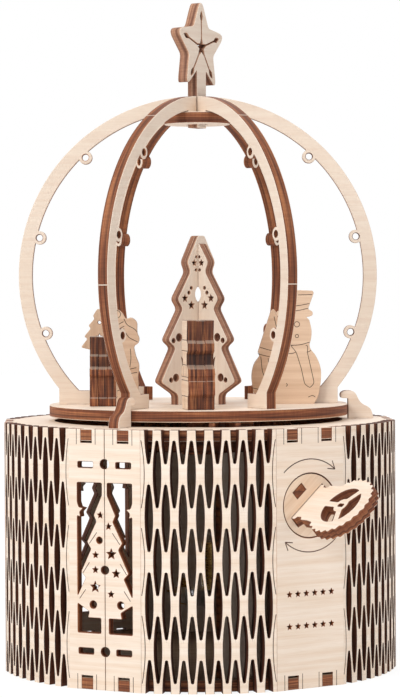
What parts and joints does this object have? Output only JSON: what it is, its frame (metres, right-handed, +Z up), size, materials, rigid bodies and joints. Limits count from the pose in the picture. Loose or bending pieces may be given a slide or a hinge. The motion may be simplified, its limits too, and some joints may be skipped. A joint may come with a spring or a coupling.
{
  "type": "music box",
  "caption": "Clockwork carousel music box in plywood: drum with living-hinge sides and a winding key, under a turntable with a dome of arches, a fir tree and festive figures.",
  "frame": {"origin": "on the turntable's axis at the underside of the base plate", "axes": "+Z up along the turntable's axis, -Y towards the front of the drum, +X to the right"},
  "size_m": [0.1388, 0.1599, 0.2373],
  "materials": {
    "plywood": "laser-cut, unpainted, with burnt edges",
    "wrap_plywood": "laser-cut, unpainted, with burnt edges",
    "steel": "bright",
    "cast_bed": "plated",
    "brass": "polished"
  },
  "bodies": {
    "base": {"base_plate": "plywood", "deck_plate": "plywood", "bearing_plate": "plywood", "wrap_sheet_key": "wrap_plywood", "wrap_sheet_rear": "wrap_plywood", "wrap_sheet_left": "wrap_plywood", "movement_board": "plywood", "panel_board_rear": "plywood", "panel_board_left": "plywood", "keeper_front": "plywood", "keeper_right": "plywood", "keeper_rear": "plywood", "thrust_washer": "plywood", "movement_bedplate": "cast_bed", "spring_housing": "brass", "comb": "steel", "governor_bracket": "cast_bed"},
    "turntable": {"arch_1": "plywood", "arch_2": "plywood", "arch_3": "plywood", "arch_4": "plywood", "arch_5": "plywood", "arch_6": "plywood", "drive_gear": "plywood", "gift_stack_core": "plywood", "gift_stack_faces": "plywood", "gnome": "plywood", "hub_disc": "plywood", "santa": "plywood", "small_tree": "plywood", "snowman": "plywood", "star": "plywood", "toy_soldier_core": "plywood", "toy_soldier_faces": "plywood", "tree_plate_left": "plywood", "tree_plate_right": "plywood", "turntable_axle": "plywood", "turntable_disc": "plywood"},
    "cylinder": {"cylinder_arbor": "steel", "pinned_cylinder": "brass", "cylinder_wheel": "brass", "drive_pinion": "plywood"},
    "governor": {"governor_worm": "steel", "governor_fan": "brass"},
    "key": {"key_bow": "plywood", "key_disc": "plywood", "key_collar": "plywood", "winding_shaft": "steel"}
  },
  "joints": [
    {"name": "turntable_spin", "type": "hinge", "parent": "base", "child": "turntable", "pos_m": [0, 0, 0.0897], "axis": [0, 0, 1], "continuous": true},
    {"name": "cylinder_spin", "type": "hinge", "parent": "base", "child": "cylinder", "pos_m": [0.00515, -0.04091, 0.0478], "axis": [0, 0, 1], "continuous": true},
    {"name": "governor_spin", "type": "hinge", "parent": "base", "child": "governor", "pos_m": [-0.00326, -0.04576, 0.0308], "axis": [0.5, -0.866, 0], "continuous": true},
    {"name": "key_turn", "type": "hinge", "parent": "base", "child": "key", "pos_m": [0.03468, -0.06006, 0.0618], "axis": [0.5, -0.866, 0], "continuous": true}
  ],
  "couplings": [
    {"joint": "cylinder_spin", "follows": "turntable_spin", "ratio": -3.125},
    {"joint": "governor_spin", "follows": "turntable_spin", "ratio": 12.5}
  ]
}
